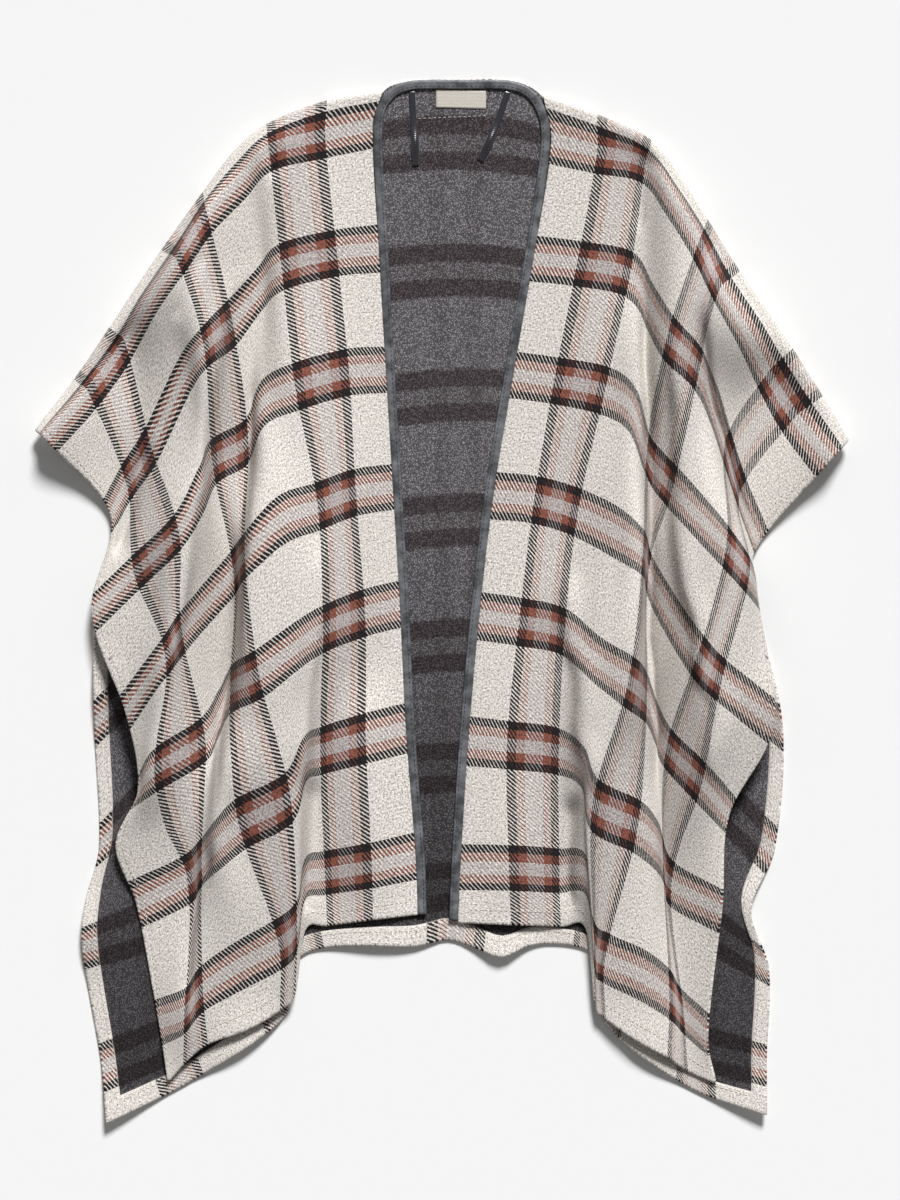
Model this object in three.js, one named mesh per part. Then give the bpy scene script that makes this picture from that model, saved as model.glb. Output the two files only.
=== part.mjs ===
import * as THREE from 'three';

// Blanket cape laid flat, open front to the sky, in millimetres, Z up.
// Plan measures are taken on a laying board: across from its left edge, down from its top edge.
// One cloth makes the back and both fronts and folds over at the shoulders.

// Driving dimensions
const BOARD_ACROSS = 441.5;
const BOARD_DOWN = 596.5;
const CLOTH_WALL = 2.0;
const HALF_WALL = CLOTH_WALL / 2;
const FRONT_WIDTH = 462;
const FRONT_LENGTH = 786;
const FRONT_START = -30;
const NECK_HALF = 87;
const BACK_LENGTH = 863;
const SIDE_TURN = 15;
const HEM_TURN = 18;
const TURN_STEP = 1.2;
const FRONT_ROW_PITCH = 24;
const SEAM_GAP = 0.3;
const BACK_MID_Z = HALF_WALL;
const EDGE_Z = 4.2;
const TURNED_EDGE_Z = 5.7;
const BINDING_WIDTH = 9.0;
const BINDING_THICK = 3.4;
const BINDING_Z = CLOTH_WALL + SEAM_GAP + BINDING_THICK / 2;
const LOOP_WIDTH = 7.0;
const LOOP_THICK = 1.0;
const LABEL_WIDTH = 50;
const LABEL_HEIGHT = 18;
const LABEL_THICK = 0.6;
const LABEL_AT = { across: 461, down: 99.5 };

// Stations across a front, in mm of cloth from the bound front edge
const STATIONS = { edge: 0, v1a: 45, v1b: 99, g1: 149, v2a: 198, v2b: 252, g2: 300, v3a: 351, v3b: 405, side: 462 };
const STATION_NAMES = Object.keys(STATIONS);

// Shoulder fold as seen in plan, with the radius of its turn
const FOLD_LEFT = {
  edge: [381.5, 93, 2.4], v1a: [326, 102, 4], v1b: [268, 125, 6], g1: [234, 153, 7], v2a: [203, 194, 7],
  v2b: [163, 250, 7], g2: [137, 288, 7], v3a: [110, 329, 7], v3b: [76, 379, 6], side: [37, 430, 5],
};
const FOLD_RIGHT = {
  edge: [544, 97, 2.4], v1a: [598, 116, 4], v1b: [650, 141, 6], g1: [681, 180, 7], v2a: [707, 221, 7],
  v2b: [738, 271, 7], g2: [766, 311, 7], v3a: [792, 350, 7], v3b: [821, 396, 6], side: [847, 440, 5],
};

// Left front: where each cross band lies at each station, as across, down, height of the cloth middle
const LEFT = [
  { row: 'band1', v: 0, edge: [372, 125, 4.2], v1a: [324, 136, 9], v1b: [270, 151, 12], g1: [243, 178, 20],
    v2a: [208, 217, 40], v2b: [180, 262, 44], g2: [152, 301, 30], v3a: [125, 343, 8], v3b: [90, 392, 22],
    side: [47, 438, 16] },
  { row: 'band2', v: 121, edge: [378, 249, 4.2], v1a: [336, 254, 10], v1b: [283, 268, 12], g1: [261, 289, 6.5],
    v2a: [232, 324, 26], v2b: [207, 350, 48], g2: [186, 378, 30], v3a: [152, 447, 14], v3b: [127, 484, 8],
    side: [112, 515, 10] },
  { row: 'band3', v: 242, edge: [385, 370, 4.2], v1a: [348, 373, 11], v1b: [297, 388, 20], g1: [264, 404, 13],
    v2a: [248, 441, 6.5], v2b: [213, 463, 27], g2: [203, 492, 48], v3a: [181, 533, 52], v3b: [137, 573, 26],
    side: [94, 612, 14] },
  { row: 'band4', v: 363, edge: [392, 487, 4.2], v1a: [355, 493, 12], v1b: [319, 507, 24], g1: [282, 521, 44],
    v2a: [247, 556, 36], v2b: [234, 573, 6.5], g2: [206, 604, 6.5], v3a: [183, 632, 18], v3b: [169, 656, 52],
    side: [128, 712, 24] },
  { row: 'band5', v: 484, edge: [399, 604, 4.2], v1a: [364, 613, 11], v1b: [324, 629, 30], g1: [296, 648, 48],
    v2a: [260, 673, 50], v2b: [232, 689, 42], g2: [220, 713, 14], v3a: [205, 739, 7], v3b: [157, 768, 26],
    side: [140, 790, 18] },
  { row: 'notch', v: 545, edge: [402, 666, 4.2], v1a: [365, 675, 10], v1b: [322, 690, 26], g1: [302, 703, 40],
    v2a: [276, 734, 45], v2b: [234, 756, 45], g2: [219, 778, 31], v3a: [205, 799, 8], v3b: [167, 825, 7],
    side: [118, 845, 9] },
  { row: 'band6', v: 605, edge: [405, 728, 4.2], v1a: [365, 738, 11], v1b: [321, 750, 16], g1: [306, 757, 33],
    v2a: [291, 796, 38], v2b: [241, 823, 36], g2: [219, 843, 38], v3a: [203, 861, 36], v3b: [189, 878, 22],
    side: [138, 904, 7] },
  { row: 'band7', v: 726, edge: [415, 857, 4.2], v1a: [371, 866, 11], v1b: [326, 874, 6.5], g1: [304, 881, 16],
    v2a: [297, 925, 24], v2b: [280, 943, 22], g2: [242, 963, 20], v3a: [203, 988, 21], v3b: [186, 1011, 17],
    side: [160, 1022, 7] },
  { row: 'hem', v: 786, edge: [417, 913, 5.8], v1a: [372, 918, 10], v1b: [328, 924, 6.5], g1: [305, 929, 7],
    v2a: [295, 991, 12], v2b: [281, 1008, 13], g2: [246, 1028, 13], v3a: [208, 1042, 13], v3b: [184, 1062, 11],
    side: [169, 1079, 9] },
];

// Right front, in the same way
const RIGHT = [
  { row: 'band1', v: 0, edge: [552, 140, 4.2], v1a: [598, 152, 8], v1b: [645, 163, 7], g1: [670, 197, 26],
    v2a: [698, 244, 40], v2b: [717, 290, 44], g2: [742, 332, 40], v3a: [767, 374, 9], v3b: [794, 417, 12],
    side: [828, 460, 16] },
  { row: 'band2', v: 121, edge: [534, 259, 4.2], v1a: [578, 264, 8], v1b: [629, 275, 9], g1: [650, 307, 14],
    v2a: [667, 338, 42], v2b: [697, 370, 34], g2: [711, 402, 24], v3a: [724, 446, 18], v3b: [739, 494, 11],
    side: [758, 543, 9] },
  { row: 'band3', v: 242, edge: [514, 375, 4.2], v1a: [555, 381, 7], v1b: [604, 391, 11], g1: [631, 409, 13],
    v2a: [646, 455, 10], v2b: [672, 489, 17], g2: [699, 520, 48], v3a: [724, 547, 52], v3b: [746, 574, 40],
    side: [755, 590, 16] },
  { row: 'band4', v: 363, edge: [494, 496, 4.2], v1a: [535, 500, 7], v1b: [577, 513, 9], g1: [616, 533, 30],
    v2a: [641, 552, 32], v2b: [648, 572, 8], g2: [668, 611, 6.5], v3a: [696, 656, 28], v3b: [718, 680, 50],
    side: [771, 722, 26] },
  { row: 'band5', v: 484, edge: [480, 616, 4.2], v1a: [520, 622, 9], v1b: [564, 632, 13], g1: [597, 661, 40],
    v2a: [627, 681, 50], v2b: [645, 698, 46], g2: [655, 721, 25], v3a: [667, 747, 6.5], v3b: [700, 781, 22],
    side: [727, 814, 26] },
  { row: 'band6', v: 605, edge: [469, 741, 4.2], v1a: [508, 745, 11], v1b: [558, 751, 10], g1: [582, 766, 28],
    v2a: [592, 802, 38], v2b: [636, 825, 30], g2: [654, 842, 21], v3a: [662, 858, 10], v3b: [671, 883, 6.5],
    side: [719, 908, 16] },
  { row: 'band7', v: 726, edge: [461, 868, 4.8], v1a: [510, 868, 13], v1b: [558, 871, 6.5], g1: [587, 875, 19],
    v2a: [594, 944, 19], v2b: [604, 958, 20], g2: [641, 974, 20], v3a: [669, 994, 15], v3b: [683, 1012, 8],
    side: [706, 1035, 9] },
  { row: 'hem', v: 786, edge: [459, 921, 7.4], v1a: [512, 923, 12], v1b: [560, 925, 6.5], g1: [586, 927, 7],
    v2a: [595, 1001, 12], v2b: [605, 1016, 13], g2: [638, 1039, 13], v3a: [667, 1055, 12], v3b: [687, 1069, 7],
    side: [714, 1081, 8] },
];

// Back, seen inside out under the fronts: plan of each row at stations across the whole cloth
const BACK_STATIONS = { sideL: -549, outL: -459, midL: -306, inL: -153, centre: 0, inR: 153, midR: 306, outR: 459, sideR: 549 };
const BACK_NAMES = Object.keys(BACK_STATIONS);
const BACK = [
  { row: 'back1', t: 60, sideL: [72, 462], outL: [125, 388], midL: [213, 262], inL: [316, 168], centre: [456, 143],
    inR: [592, 172], midR: [690, 272], outR: [772, 397], sideR: [812, 472] },
  { row: 'back2', t: 185, sideL: [116, 524], outL: [168, 444], midL: [240, 350], inL: [330, 290], centre: [457, 270],
    inR: [577, 291], midR: [666, 362], outR: [733, 452], sideR: [754, 546] },
  { row: 'back3', t: 310, sideL: [97, 605], outL: [168, 545], midL: [246, 470], inL: [335, 415], centre: [459, 395],
    inR: [566, 411], midR: [650, 480], outR: [716, 560], sideR: [756, 612] },
  { row: 'back4', t: 435, sideL: [96, 722], outL: [165, 655], midL: [250, 585], inL: [334, 540], centre: [459, 520],
    inR: [560, 535], midR: [640, 592], outR: [714, 668], sideR: [781, 727] },
  { row: 'back5', t: 560, sideL: [101, 845], outL: [165, 782], midL: [250, 715], inL: [330, 665], centre: [459, 645],
    inR: [561, 661], midR: [634, 720], outR: [709, 790], sideR: [773, 850] },
  { row: 'dip', t: 622, sideL: [88, 898], outL: [160, 850], midL: [253, 782], inL: [326, 727], centre: [459, 707],
    inR: [565, 724], midR: [629, 785], outR: [703, 852], sideR: [749, 909] },
  { row: 'back6', t: 685, sideL: [84, 946], outL: [160, 920], midL: [262, 850], inL: [322, 790], centre: [459, 767],
    inR: [571, 788], midR: [624, 850], outR: [699, 918], sideR: [767, 966] },
  { row: 'back7', t: 805, sideL: [103, 1062], outL: [172, 1033], midL: [266, 958], inL: [300, 905], centre: [459, 885],
    inR: [589, 906], midR: [616, 962], outR: [690, 1038], sideR: [765, 1060] },
  { row: 'hem', t: 863, sideL: [108, 1121], outL: [188, 1081], midL: [281, 1018], inL: [309, 950], centre: [456, 947],
    inR: [586, 948], midR: [607, 1022], outR: [690, 1086], sideR: [765, 1113] },
];

// Two waves in the middle of the back hem
const HEM_WAVES = [
  { at: 447, spread: 22, down: -9 },
  { at: 502, spread: 19, down: 11 },
];

// Back neck edge, under the binding
const NECK = [
  { s: -87, across: 381.5, down: 93 }, { s: -70, across: 391, down: 86 }, { s: -48, across: 411, down: 81.5 },
  { s: 0, across: 461, down: 80.5 }, { s: 48, across: 511, down: 81 }, { s: 70, across: 530, down: 87 },
  { s: 87, across: 544, down: 97 },
];

// Centre line of the binding, from the left front hem round the neck to the right front hem, as across, down, lift
const BINDING_PATH = [
  [422.2, 914, 2.4], [420.2, 857, 0.8], [410.2, 728, 0], [404.2, 604, 0], [397.2, 487, 0], [390.2, 370, 0],
  [383.4, 249, 0], [379.6, 180, 0], [377.6, 140, 0], [380.0, 112.5, 0], [387.3, 98.6, 0], [398.3, 89.6, 0],
  [415, 85.3, 0], [461, 84.8, 0], [506, 85.2, 0], [524, 90, 0], [536, 101, 0], [543.9, 120, 0],
  [545.6, 142, 0], [539.8, 190, 0], [528.8, 259, 0], [508.8, 375, 0], [488.8, 496, 0], [474.8, 616, 0],
  [463.8, 741, 0], [455.8, 868, 1.2], [453.6, 920, 3.4],
];

// Places where the laid cloth rises from the surface: both layers rise together
const RISES = [
  { name: 'hem middle right', across: 503, down: 968, reach: 27, up: 9 },
  { name: 'hem middle left', across: 380, down: 962, reach: 38, up: 7 },
  { name: 'left tail corner', across: 104, down: 1128, reach: 40, up: 9 },
  { name: 'left tail hem', across: 250, down: 1056, reach: 34, up: 8 },
  { name: 'left side low', across: 78, down: 930, reach: 30, up: 8 },
  { name: 'left side high', across: 86, down: 690, reach: 32, up: 8 },
  { name: 'left sleeve tip', across: 30, down: 430, reach: 36, up: 8 },
  { name: 'right tail hem', across: 630, down: 1060, reach: 34, up: 8 },
  { name: 'right tail corner', across: 770, down: 1120, reach: 40, up: 9 },
  { name: 'right side low', across: 752, down: 905, reach: 28, up: 8 },
  { name: 'right side high', across: 790, down: 700, reach: 32, up: 8 },
  { name: 'right sleeve tip', across: 852, down: 442, reach: 36, up: 8 },
];

const smooth = (t) => t * t * (3 - 2 * t);

// Cubic through knots with uneven spacing
function spline(knots, values, at) {
  const n = knots.length;
  let k = 0;
  while (k < n - 2 && at > knots[k + 1]) k += 1;
  const slope = (i) => {
    if (i === 0) return (values[1] - values[0]) / (knots[1] - knots[0]);
    if (i === n - 1) return (values[n - 1] - values[n - 2]) / (knots[n - 1] - knots[n - 2]);
    return (values[i + 1] - values[i - 1]) / (knots[i + 1] - knots[i - 1]);
  };
  const h = knots[k + 1] - knots[k];
  const f = (at - knots[k]) / h;
  const f2 = f * f;
  const f3 = f2 * f;
  return (2 * f3 - 3 * f2 + 1) * values[k] + (f3 - 2 * f2 + f) * h * slope(k)
    + (3 * f2 - 2 * f3) * values[k + 1] + (f3 - f2) * h * slope(k + 1);
}

const splineList = (knots, points, at) => points[0].map((_, axis) => spline(knots, points.map((p) => p[axis]), at));

function rise(across, down) {
  let up = 0;
  for (const r of RISES) {
    const d = Math.hypot(across - r.across, down - r.down) / r.reach;
    if (d < 2) up += r.up * smooth(1 - d / 2);
  }
  return up;
}

function place(across, down, z) {
  return new THREE.Vector3(across - BOARD_ACROSS, BOARD_DOWN - down, z + rise(across, down));
}

// Point on a front table row
function rowPoint(row, u) {
  return splineList(STATION_NAMES.map((n) => STATIONS[n]), STATION_NAMES.map((n) => row[n]), u);
}

// The turn of the shoulder fold: contour point, its radius and its direction out of the cloth
function foldAt(fold, rows, u) {
  const [cx, cy, radius] = rowPoint(fold, u);
  const [rx, ry] = rowPoint(rows[0], u);
  const away = Math.hypot(cx - rx, cy - ry);
  return { cx, cy, radius, dx: (cx - rx) / away, dy: (cy - ry) / away };
}

function frontPoint(fold, rows, u, v) {
  const f = foldAt(fold, rows, u);
  const first = [f.cx - f.dx * f.radius, f.cy - f.dy * f.radius, BACK_MID_Z + 2 * f.radius];
  const points = [first].concat(rows.map((r) => rowPoint(r, u)));
  const knots = [FRONT_START].concat(rows.map((r) => r.v));
  const [across, down, z] = splineList(knots, points, v);
  const toEdge = Math.min(FRONT_WIDTH - u, FRONT_LENGTH - v);
  const low = toEdge < 30 ? TURNED_EDGE_Z : EDGE_Z - 0.2;
  return place(across, down, Math.max(z, low));
}

function turnPoint(fold, rows, u, angle) {
  const f = foldAt(fold, rows, u);
  const reach = f.radius * (Math.sin(angle) - 1);
  return place(f.cx + f.dx * reach, f.cy + f.dy * reach, BACK_MID_Z + f.radius * (1 - Math.cos(angle)));
}

// First row of the back: the inner start of the fold at the sides, the neck edge in the middle
function backStart(s) {
  if (s <= -NECK_HALF) {
    const f = foldAt(FOLD_LEFT, LEFT, -s - NECK_HALF);
    return [f.cx - f.dx * f.radius, f.cy - f.dy * f.radius];
  }
  if (s >= NECK_HALF) {
    const f = foldAt(FOLD_RIGHT, RIGHT, s - NECK_HALF);
    return [f.cx - f.dx * f.radius, f.cy - f.dy * f.radius];
  }
  return splineList(NECK.map((n) => n.s), NECK.map((n) => [n.across, n.down]), s);
}

function backPoint(s, t) {
  const at = BACK_NAMES.map((n) => BACK_STATIONS[n]);
  const points = [backStart(s)].concat(BACK.map((r) => splineList(at, BACK_NAMES.map((n) => r[n]), s)));
  const [across, down] = splineList([0].concat(BACK.map((r) => r.t)), points, t);
  const near = smooth(Math.min(1, Math.max(0, (t - (BACK_LENGTH - 110)) / 110)));
  let wave = 0;
  for (const w of HEM_WAVES) wave += w.down * Math.exp(-(((across - w.at) / w.spread) ** 2));
  return place(across, down + wave * near, BACK_MID_Z);
}

// Sampling of the cloth
const FRONT_U = [0, 22, 45, 63, 81, 99, 115, 131, 149, 165, 181, 198, 216, 234, 252, 276, 300, 325, 351, 378, 405,
  428, FRONT_WIDTH - SIDE_TURN - TURN_STEP, FRONT_WIDTH - SIDE_TURN, FRONT_WIDTH];
const NECK_S = [-70, -48, -16, 16, 48, 70];
const TURN_ANGLES = [0, 0.25, 0.5, 0.75, 1].map((f) => f * Math.PI);

function frontRows() {
  const last = FRONT_LENGTH - HEM_TURN - TURN_STEP;
  const count = Math.round((last - FRONT_START) / FRONT_ROW_PITCH);
  const list = [];
  for (let i = 1; i <= count; i += 1) list.push(FRONT_START + ((last - FRONT_START) * i) / count);
  return list.concat([FRONT_LENGTH - HEM_TURN, FRONT_LENGTH]);
}

function backRows() {
  const last = BACK_LENGTH - HEM_TURN - TURN_STEP;
  const list = [30, 60, 122, 185, 247, 310, 372, 435, 497, 560, 622, 685, 745, 805];
  return list.concat([last, BACK_LENGTH - HEM_TURN, BACK_LENGTH]);
}

function sheetSolid() {
  const mid = [];
  const inner = [];
  const faces = [];
  const add = (point, turned) => {
    mid.push(point);
    inner.push(turned ? HALF_WALL + CLOTH_WALL : HALF_WALL);
    return mid.length - 1;
  };
  // Back rows first, so that both fronts can share its first row
  const left = FRONT_U.slice().reverse().map((u) => -NECK_HALF - u);
  const right = FRONT_U.map((u) => NECK_HALF + u);
  const across = left.concat(NECK_S, right);
  const sideAt = NECK_HALF + FRONT_WIDTH - SIDE_TURN;
  const back = [0].concat(backRows()).map((t) => across.map((s) => {
    const turned = Math.abs(s) >= sideAt || t >= BACK_LENGTH - HEM_TURN;
    return add(backPoint(s, t), turned);
  }));
  for (let i = 0; i + 1 < back.length; i += 1) {
    for (let j = 0; j + 1 < across.length; j += 1) {
      faces.push([back[i][j], back[i][j + 1], back[i + 1][j + 1], back[i + 1][j]]);
    }
  }
  for (const hand of [-1, 1]) {
    const fold = hand < 0 ? FOLD_LEFT : FOLD_RIGHT;
    const rows = hand < 0 ? LEFT : RIGHT;
    const first = FRONT_U.map((u) => back[0][across.indexOf(hand * (NECK_HALF + u))]);
    const grid = [first];
    for (const angle of TURN_ANGLES.slice(1)) {
      grid.push(FRONT_U.map((u) => add(turnPoint(fold, rows, u, angle), u >= FRONT_WIDTH - SIDE_TURN)));
    }
    for (const v of frontRows()) {
      const hem = v >= FRONT_LENGTH - HEM_TURN;
      grid.push(FRONT_U.map((u) => add(frontPoint(fold, rows, u, v), hem || u >= FRONT_WIDTH - SIDE_TURN)));
    }
    for (let i = 0; i + 1 < grid.length; i += 1) {
      for (let j = 0; j + 1 < FRONT_U.length; j += 1) {
        const q = [grid[i][j], grid[i][j + 1], grid[i + 1][j + 1], grid[i + 1][j]];
        faces.push(hand < 0 ? q : q.reverse());
      }
    }
  }
  return thicken(mid, inner, faces);
}

// A closed solid from a middle sheet: outer face, inner face and the cut edges between them
function thicken(mid, inner, faces) {
  const normals = mid.map(() => new THREE.Vector3());
  const cross = new THREE.Vector3();
  const one = new THREE.Vector3();
  const two = new THREE.Vector3();
  for (const [a, b, c, d] of faces) {
    cross.crossVectors(one.subVectors(mid[c], mid[a]), two.subVectors(mid[d], mid[b]));
    for (const i of [a, b, c, d]) normals[i].add(cross);
  }
  const positions = [];
  const push = (p, n, w) => positions.push(p.x + n.x * w, p.y + n.y * w, p.z + n.z * w);
  mid.forEach((p, i) => push(p, normals[i].normalize(), HALF_WALL));
  mid.forEach((p, i) => push(p, normals[i], -inner[i]));
  const n = mid.length;
  const index = [];
  const edges = new Set();
  for (const q of faces) {
    for (let k = 0; k < 4; k += 1) edges.add(`${q[k]},${q[(k + 1) % 4]}`);
  }
  for (const q of faces) {
    const [a, b, c, d] = q;
    index.push(a, b, c, a, c, d);
    index.push(n + a, n + c, n + b, n + a, n + d, n + c);
    for (let k = 0; k < 4; k += 1) {
      const from = q[k];
      const to = q[(k + 1) % 4];
      if (!edges.has(`${to},${from}`)) index.push(to, from, n + from, to, n + from, n + to);
    }
  }
  return geometry(positions, index);
}

function geometry(positions, index) {
  const g = new THREE.BufferGeometry();
  g.setAttribute('position', new THREE.Float32BufferAttribute(positions, 3));
  g.setIndex(index);
  g.computeVertexNormals();
  return g;
}

// A bar swept along a path lying in plan, from a section of side and height pairs
function sweep(points, section) {
  const positions = [];
  const index = [];
  const count = section.length;
  points.forEach((p, i) => {
    const before = points[Math.max(0, i - 1)];
    const after = points[Math.min(points.length - 1, i + 1)];
    const along = new THREE.Vector3().subVectors(after, before).normalize();
    const side = new THREE.Vector3(-along.y, along.x, 0).normalize();
    for (const [w, h] of section) positions.push(p.x + side.x * w, p.y + side.y * w, p.z + h);
  });
  for (let i = 0; i + 1 < points.length; i += 1) {
    for (let k = 0; k < count; k += 1) {
      const a = i * count + k;
      const b = i * count + ((k + 1) % count);
      index.push(a, b, b + count, a, b + count, a + count);
    }
  }
  const last = (points.length - 1) * count;
  for (let k = 1; k + 1 < count; k += 1) {
    index.push(0, k + 1, k);
    index.push(last, last + k, last + k + 1);
  }
  return geometry(positions, index);
}

// Evenly spaced points along a smooth line through plan points
function smoothPath(plan, z, pitch) {
  const knots = [0];
  for (let i = 1; i < plan.length; i += 1) {
    knots.push(knots[i - 1] + Math.hypot(plan[i][0] - plan[i - 1][0], plan[i][1] - plan[i - 1][1]));
  }
  const total = knots[knots.length - 1];
  const count = Math.round(total / pitch);
  const list = [];
  for (let i = 0; i <= count; i += 1) {
    const [across, down, lift] = splineList(knots, plan, (total * i) / count);
    list.push(place(across, down, z + lift));
  }
  return list;
}

function roundedBar(width, thick) {
  const w = width / 2;
  const h = thick / 2;
  const c = Math.min(1.1, h * 0.6);
  return [[-w, -h + c], [-w + c, -h], [w - c, -h], [w, -h + c], [w, h - c], [w - c, h], [-w + c, h], [-w, h - c]];
}

function binding() {
  return sweep(smoothPath(BINDING_PATH, BINDING_Z, 15), roundedBar(BINDING_WIDTH, BINDING_THICK));
}

// A hanger loop: a folded tape lying down the inside of the back
function hangerLoop(plan) {
  const z = CLOTH_WALL + SEAM_GAP + LOOP_THICK / 2;
  return sweep(smoothPath(plan, z, 8), roundedBar(LOOP_WIDTH, LOOP_THICK));
}

const LOOP_LEFT = [[412, 91, 0], [413, 115, 0], [415, 140, 0], [415.5, 166, 0]];
const LOOP_RIGHT = [[508, 91.5, 0], [501, 112, 0], [491, 138, 0], [480, 161, 0]];

function label() {
  const g = new THREE.BoxGeometry(LABEL_WIDTH, LABEL_HEIGHT, LABEL_THICK);
  const z = CLOTH_WALL + SEAM_GAP + LABEL_THICK / 2;
  g.translate(LABEL_AT.across - BOARD_ACROSS, BOARD_DOWN - LABEL_AT.down, z);
  return g;
}

function piece(name, geo, color, roughness) {
  const mesh = new THREE.Mesh(geo, new THREE.MeshStandardMaterial({ color, roughness, metalness: 0 }));
  mesh.name = name;
  return mesh;
}

const garment = new THREE.Group();
garment.name = 'blanket_cape';
garment.add(piece('cloth_body', sheetSolid(), 0xd6d0ca, 0.95));
garment.add(piece('edge_binding', binding(), 0x3a3a3c, 0.55));
garment.add(piece('hanger_loop_left', hangerLoop(LOOP_LEFT), 0x1d1e26, 0.4));
garment.add(piece('hanger_loop_right', hangerLoop(LOOP_RIGHT), 0x1d1e26, 0.4));
garment.add(piece('neck_label', label(), 0xc9c3bb, 0.7));

// The origin sits under the middle of the laid garment
garment.updateMatrixWorld(true);
const box = new THREE.Box3().setFromObject(garment, true);
const middle = box.getCenter(new THREE.Vector3());
for (const mesh of garment.children) mesh.geometry.translate(-middle.x, -middle.y, -box.min.z);

export default garment;
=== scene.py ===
"""Blanket cape laid flat: cloth, binding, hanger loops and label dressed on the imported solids."""
import math

import bpy
import numpy as np
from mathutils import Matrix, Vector


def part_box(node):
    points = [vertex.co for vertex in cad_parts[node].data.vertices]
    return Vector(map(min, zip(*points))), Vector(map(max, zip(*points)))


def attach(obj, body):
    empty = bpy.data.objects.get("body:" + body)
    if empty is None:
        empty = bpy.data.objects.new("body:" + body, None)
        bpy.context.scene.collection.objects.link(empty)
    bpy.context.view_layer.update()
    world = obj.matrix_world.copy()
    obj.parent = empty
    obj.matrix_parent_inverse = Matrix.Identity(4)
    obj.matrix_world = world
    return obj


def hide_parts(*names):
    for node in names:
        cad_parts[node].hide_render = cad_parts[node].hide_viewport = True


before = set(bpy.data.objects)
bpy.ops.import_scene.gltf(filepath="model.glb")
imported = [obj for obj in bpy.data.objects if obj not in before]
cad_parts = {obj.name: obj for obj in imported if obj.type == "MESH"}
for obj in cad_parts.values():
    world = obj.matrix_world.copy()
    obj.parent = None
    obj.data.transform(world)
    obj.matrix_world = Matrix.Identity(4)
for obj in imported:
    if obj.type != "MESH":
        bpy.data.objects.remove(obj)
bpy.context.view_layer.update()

bl_info = {
    "name": "Blanket cape laid flat",
    "version": (1, 0, 0),
    "blender": (4, 5, 0),
    "location": "View3D > Sidebar > Blanket cape",
    "description": "Builds the plaid cloth, binding, hanger loops and label of a blanket cape laid flat",
    "category": "Object",
}

# Plan measures are in millimetres on a laying board: across from its left edge, down from its top edge.
# The frame's origin lies at this place of the board.
ORIGIN_ACROSS = 441.5 + 0.5355
ORIGIN_DOWN = 596.5 + 4.0823
BOARD_MIDDLE = (450.0, 600.0)
BOARD_TALL = 1.2

FRONT_WIDTH, FRONT_LENGTH, FRONT_START = 462.0, 786.0, -30.0
NECK_HALF, BACK_LENGTH = 87.0, 863.0
SIDE_TURN, HEM_TURN = 15.0, 18.0
BACK_Z = 1.0
EDGE_Z, TURNED_EDGE_Z = 4.0, 5.7
WARP_REPEAT, WEFT_REPEAT = 153.0, 121.0
# Heights above FOLD_TOP are eased off, and none passes FOLD_TOP + FOLD_ROUNDING
FOLD_TOP, FOLD_ROUNDING = 46.0, 16.0
# Distances from the side and from the hem, in mm, of the rows of points that shape the turned strips
SIDE_ROWS = [17.6, 16.2, SIDE_TURN, 13.6, 7.5, 2.0, 0.0]
HEM_ROWS = [20.6, 19.2, HEM_TURN, 16.6, 9.0, 2.4, 0.0]
# Inside of the back where it lies flat, and how far the binding and the loops keep clear of it, as on the solids
INSIDE_Z, CLEARANCE = 2.0, 0.3
# Half the binding's width and thickness, its groove's distance from its middle, half the ribbon's thickness
BINDING_SIDE, BINDING_HALF, GROOVE_AT, RIBBON_HALF = 4.6, 1.7, 1.9, 0.5
# Label in metres: width, height, and how far its two faces lie above the underside of its solid
LABEL_WIDE, LABEL_TALL, LABEL_LOW, LABEL_HIGH = 0.05, 0.018, 0.0001, 0.0006
# Rows of stitches in mm from the sides of the fronts, from the sides of the back and from every hem, and the
# height of those on the back
FRONT_SIDE_STITCH, BACK_SIDE_STITCH, HEM_STITCH, BACK_STITCH_Z = 6.0, 12.0, 14.0, 4.0
# Underarm tacks, in mm of cloth below the shoulder
TACKS = {"left": 300, "right": 306}

# Stations across a front, in mm of cloth from the bound front edge
STATIONS = {"edge": 0, "v1a": 45, "v1b": 99, "g1": 149, "v2a": 198, "v2b": 252, "g2": 300, "v3a": 351,
            "v3b": 405, "side": 462}

# Shoulder fold in plan at each station: across, down, radius of the turn
FOLD = {
    "left": [(381.5, 93, 2.4), (326, 102, 4), (268, 125, 6), (234, 153, 7), (203, 194, 7), (163, 250, 7),
             (137, 288, 7), (110, 329, 7), (76, 379, 6), (37, 430, 5)],
    "right": [(544, 97, 2.4), (598, 116, 4), (650, 141, 6), (681, 180, 7), (707, 221, 7), (738, 271, 7),
              (766, 311, 7), (792, 350, 7), (821, 396, 6), (847, 440, 5)],
}

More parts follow.
